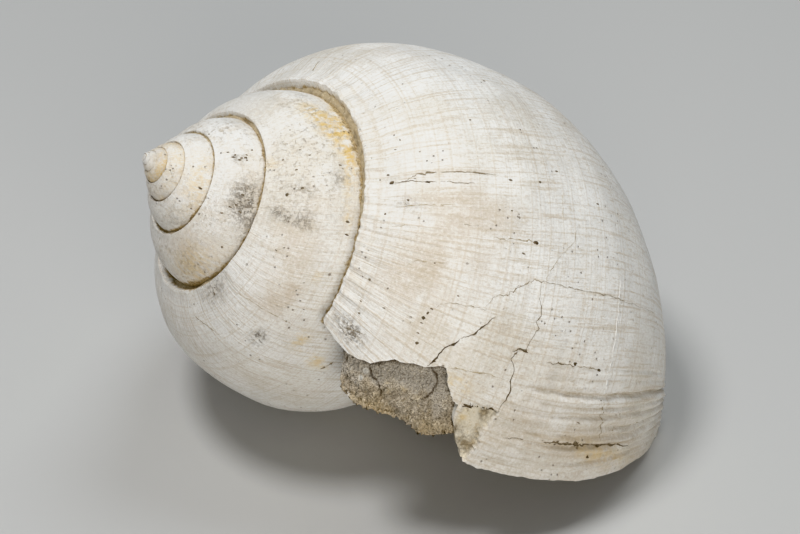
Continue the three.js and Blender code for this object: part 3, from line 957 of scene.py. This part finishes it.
def speckle_group():
    """Small grains of two sizes: a mask for colour and a height for bump."""
    tree = bpy.data.node_groups.new("speckle", "ShaderNodeTree")
    for name, side, kind in (("Position", "INPUT", "Vector"), ("Grains per metre", "INPUT", "Float"),
                             ("Mask", "OUTPUT", "Float"), ("Height", "OUTPUT", "Float")):
        tree.interface.new_socket(name=name, in_out=side, socket_type="NodeSocket" + kind)
    nodes = Nodes(tree)
    start = nodes.add("NodeGroupInput")
    end = nodes.add("NodeGroupOutput")
    coarse = nodes.add("ShaderNodeTexNoise", Detail=3, Roughness=0.65)
    fine = nodes.add("ShaderNodeTexVoronoi")
    for node in (coarse, fine):
        nodes.feed(node.inputs["Vector"], start.outputs["Position"])
        nodes.feed(node.inputs["Scale"], start.outputs["Grains per metre"])
    nodes.feed(end.inputs["Mask"], nodes.spread(coarse.outputs["Fac"], 0.52, 0.66))
    nodes.feed(end.inputs["Height"], nodes.minus(coarse.outputs["Fac"], fine.outputs["Distance"]))
    return tree


speckle = speckle_group()


class Finish(Nodes):
    """A material under way, whose colour is laid on coat by coat."""

    def __init__(self, name, colour=None):
        self.material = bpy.data.materials.new(name)
        self.material.use_nodes = True
        super().__init__(self.material.node_tree)
        self.shader = self.tree.nodes["Principled BSDF"]
        self.position = self.add("ShaderNodeTexCoord").outputs["Object"]
        self.colour = colour

    def attribute(self, name):
        return self.add("ShaderNodeAttribute", attribute_name=name).outputs["Fac"]

    def cloud(self, scale, detail=3, roughness=0.5, at=None):
        node = self.add("ShaderNodeTexNoise", Scale=scale, Detail=detail, Roughness=roughness)
        self.feed(node.inputs["Vector"], at or self.position)
        return node.outputs["Fac"]

    def blotches(self, low, high, *pattern):
        return self.spread(self.cloud(*pattern), low, high)

    def grown(self, growth_scale, across_scale, detail, roughness):
        """A pattern laid out along the growth lines and across them."""
        at = self.add("ShaderNodeCombineXYZ")
        self.feed(at.inputs[0], self.times(self.attribute("growth"), growth_scale))
        self.feed(at.inputs[1], self.times(self.attribute("across"), across_scale))
        return self.cloud(1, detail, roughness, at.outputs[0])

    def dots(self, scale, inner, outer):
        """Scattered dots, full within the inner distance and gone at the outer."""
        node = self.add("ShaderNodeTexVoronoi", Scale=scale)
        self.feed(node.inputs["Vector"], self.position)
        return self.spread(node.outputs["Distance"], inner, outer, 1, 0)

    def speckles(self, per_metre):
        node = self.add("ShaderNodeGroup", node_tree=speckle, Grains_per_metre=per_metre)
        self.feed(node.inputs["Position"], self.position)
        return node.outputs["Mask"], node.outputs["Height"]

    def ragged(self, value, pattern, amount, low, high):
        """A smooth value made into a mask whose boundary is broken up by a pattern."""
        wander = self.times(self.minus(pattern, 0.5), amount)
        return self.spread(self.plus(value, wander), low, high)

    def coat(self, mask, colour, share=1):
        """Lay a colour over the ones so far, where the mask is and at a share of its strength."""
        self.colour = self.mixed(self.times(mask, share), self.colour, colour)

    def done(self, roughness, height, strength, distance):
        self.feed(self.shader.inputs["Base Color"], self.colour)
        self.feed(self.shader.inputs["Roughness"], roughness)
        bump = self.add("ShaderNodeBump", Strength=strength, Distance=distance)
        self.feed(bump.inputs["Height"], height)
        self.feed(self.shader.inputs["Normal"], bump.outputs["Normal"])
        return self.material


def chalky_shell():
    m = Finish("chalky_shell", "chalk white")
    held = {key: m.attribute(key) for key in SURFACE_VALUES}
    spall = held["spall"]

    # Chalky white with warmer zones and bright patches
    m.coat(m.blotches(0.4, 0.66, 38), "warm chalk")
    beige = m.times(held["beige"], m.blotches(0.28, 0.52, 160, 4, 0.6))
    m.coat(beige, "beige", 0.85)
    patch = m.blotches(0.42, 0.66, 120, 4, 0.6)
    m.coat(patch, "bright patch", 0.65)

    # The spire is more worn: fainter lines, more beige mottling and brown flecks
    spire = m.spread(held["growth"], -1.25, -0.98, 1, 0)
    line_share = m.minus(1, m.times(spire, 0.55))
    worn = m.times(m.blotches(0.5, 0.62, 230, 5, 0.7), spire)
    m.coat(worn, "worn beige", 0.45)
    cluster = m.times(m.blotches(0.38, 0.56, 110, 4, 0.6), spire)
    fleck = m.times(m.blotches(0.545, 0.63, 1400, 5, 0.75), cluster)
    m.coat(fleck, "fleck", 0.5)

    # Growth lines run along the lip, spiral threads across them, with mottling and grains over both
    lines = m.grown(420, 2.4, 4, 0.62)
    m.coat(m.spread(lines, 0.5, 0.64), "growth line", m.times(line_share, 0.5))
    threads = m.grown(6, 95, 3, 0.5)
    m.coat(m.spread(threads, 0.5, 0.68), "thread", m.times(line_share, 0.4))
    mottle = m.grown(560, 24, 4, 0.68)
    m.coat(m.spread(mottle, 0.51, 0.66), "mottle", 0.45)
    grain = m.cloud(2400, 3, 0.7)
    m.coat(m.spread(grain, 0.53, 0.65), "dark shell grain", 0.26)
    m.coat(m.spread(grain, 0.36, 0.47, 1, 0), "white shell grain", 0.3)

    # The spalled flake, and ochre and grey stains
    speck, speck_height = m.speckles(1500)
    m.coat(spall, m.mixed(speck, "spall cream", "spall tan"))
    ochre = m.times(held["ochre"], m.spread(m.grown(150, 9, 4, 0.65), 0.35, 0.56))
    ochre = m.times(ochre, m.blotches(0.34, 0.56, 620, 5, 0.7))
    m.coat(ochre, "ochre", 0.95)
    smudge = m.times(held["grey"], m.blotches(0.36, 0.62, 450, 4, 0.65))
    smudge_tint = m.mixed(spall, "smudge", m.mixed(speck, "dark grit", "pale grit"))
    m.coat(smudge, smudge_tint, m.plus(m.times(spall, 0.45), 0.45))
    grey = m.times(held["grey"], m.blotches(0.49, 0.58, 1700, 5, 0.8))
    grey = m.times(grey, m.minus(1, m.times(spall, 0.55)))
    m.coat(grey, "grey speck", 0.75)

    # Soil in the furrows and beside the suture, painted shade in the crevice at the suture, and the broken
    # edge
    furrow = m.times(held["furrow"], m.blotches(0.32, 0.52, 520, 5, 0.65))
    m.coat(furrow, "furrow soil", 0.85)
    soil = m.ragged(held["soil"], m.cloud(700, 5, 0.7), 2, 0.36, 0.8)
    m.coat(soil, m.mixed(m.spread(grain, 0.44, 0.56), "pale earth", "dark earth"), 0.95)
    # Painted shade in the crevice at the suture
    crevice_shade = m.ragged(held["crevice_shade"], m.cloud(900, 4, 0.7), 1.4, 0.28, 0.75)
    m.coat(crevice_shade, "crevice_shade", 0.92)
    m.coat(held["edge"], "broken edge")

    # Scattered pinholes of two sizes
    small = m.times(m.dots(820, 0.08, 0.16), m.blotches(0.52, 0.59, 140, 2))
    large = m.times(m.dots(330, 0.0425, 0.085), m.blotches(0.53, 0.6, 90, 2))
    pinhole = m.maths("MAXIMUM", large, small)
    m.coat(pinhole, "pinhole", 0.7)

    rough = m.spread(patch, 0, 1, 0.38, 0.55)
    rough = m.plus(rough, m.times(soil, 0.35), True)
    rough = m.plus(rough, m.times(spall, 0.35), True)

    height = m.times(lines, 0.9)
    for pattern, amount in ((threads, 0.35), (mottle, 0.55)):
        height = m.plus(height, m.times(pattern, amount))
    height = m.times(height, line_share)
    for pattern, depth in ((grain, 0.4), (m.plus(fleck, worn), 0.3), (pinhole, 1.2), (grey, 0.6)):
        height = m.minus(height, m.times(pattern, depth))
    height = m.plus(height, m.times(speck_height, m.plus(spall, 0.08)))
    return m.done(rough, height, 0.75, 0.00026)


def cemented_sand():
    m = Finish("cemented_sand", "sand")
    smooth = m.attribute("smooth")
    grains, grain_height = m.speckles(2600)
    crumbs, crumb_height = m.speckles(700)
    m.coat(m.blotches(0.4, 0.62, 120), "dull sand")
    m.coat(m.blotches(0.45, 0.6, 55), "grey sand")
    m.coat(crumbs, "crumb", 0.6)
    m.coat(smooth, "smooth sand", 0.9)
    m.coat(grains, "pale grain", 0.55)
    m.coat(m.blotches(0.52, 0.6, 3600, 3, 0.7), "dark grain", 0.6)
    few = m.blotches(0.52, 0.58, 210, 1)
    m.coat(m.times(m.dots(420, 0.16, 0.24), few), "white chip")
    # Real cracks in the sand, and painted shade along the underside of the lip
    m.coat(m.attribute("crack"), "sand crack and lip shade", 0.9)
    rough_part = m.minus(1.4, m.times(smooth, 1.15))
    height = m.plus(grain_height, m.times(crumb_height, rough_part))
    return m.done(0.9, height, 0.85, 0.0005)


def crack_soil():
    """Soil from pale to dark by the darkness the mesh holds, and white where that is below 0."""
    m = Finish("crack_soil")
    darkness = m.attribute("darkness")
    grains, grain_height = m.speckles(2600)
    m.colour = m.mixed(grains, "soil", "pale soil")
    m.coat(darkness, m.mixed(grains, "dark soil", "brown soil"))
    m.coat(m.spread(darkness, -0.6, -0.2, 1, 0), "scratch")
    return m.done(0.95, grain_height, 0.6, 0.0001)


def pale_floor():
    floor = Finish("pale_floor")
    floor.feed(floor.shader.inputs["Base Color"], "floor")
    floor.feed(floor.shader.inputs["Roughness"], 0.55)
    return floor.material


def build_pieces():
    shell_finish = chalky_shell()
    shell_whorls(shell_finish)
    navel_callus(shell_finish)
    mouth_sand(cemented_sand())
    soil_in_cracks(crack_soil())


# Floor, light and camera
FLOOR_HALF = 4
FLOOR_GAP = 0.00002
CAMERA_FROM_APEX = Vector((38.93, -359.21, 251.68))
CAMERA_DIP = math.radians(37.22)
LENS, SENSOR = 131.7, 36
LIGHTS_AIM = Vector((0, 0, 0.03))
# Soft lights: name, place, size, power, colour
LIGHTS = [("key", (-0.16, -0.04, 0.56), 0.16, 1.9, (1, 1, 1)),
          ("top", (0.15, 0.22, 0.6), 0.3, 1.3, (0.9, 0.96, 1)),
          ("front", (0.12, -0.6, 0.22), 0.4, 2, (1, 0.955, 0.885))]
SKY, SKY_STRENGTH = (0.95, 0.97, 1, 1), 0.18


def lay_floor():
    bm = bmesh.new()
    bmesh.ops.create_grid(bm, x_segments=1, y_segments=1, size=FLOOR_HALF)
    bmesh.ops.translate(bm, vec=(0, 0, -FLOOR_GAP), verts=bm.verts)
    mesh = into_mesh(bm, "floor")
    mesh.materials.append(pale_floor())
    placed("floor", mesh)


def soft_light(name, at, size, power, colour):
    data = bpy.data.lights.new(name, "AREA")
    data.shape = "DISK"
    data.size = size
    data.energy = power
    data.color = colour
    light = placed(name, data)
    light.location = at
    light.rotation_euler = (LIGHTS_AIM - Vector(at)).to_track_quat("-Z", "Y").to_euler()


def light_and_camera():
    world = bpy.data.worlds.new("studio")
    world.use_nodes = True
    background = world.node_tree.nodes["Background"]
    background.inputs["Color"].default_value = SKY
    background.inputs["Strength"].default_value = SKY_STRENGTH
    bpy.context.scene.world = world
    bpy.context.scene.view_settings.view_transform = "Khronos PBR Neutral"
    for light in LIGHTS:
        soft_light(*light)
    data = bpy.data.cameras.new("camera")
    data.lens = LENS
    data.sensor_width = SENSOR
    data.clip_start = 0.01
    camera = placed("camera", data)
    camera.location = (APEX_AT + CAMERA_FROM_APEX) * MM
    camera.rotation_euler = (math.pi / 2 - CAMERA_DIP, 0, 0)
    bpy.context.scene.camera = camera


build_pieces()
lay_floor()
light_and_camera()
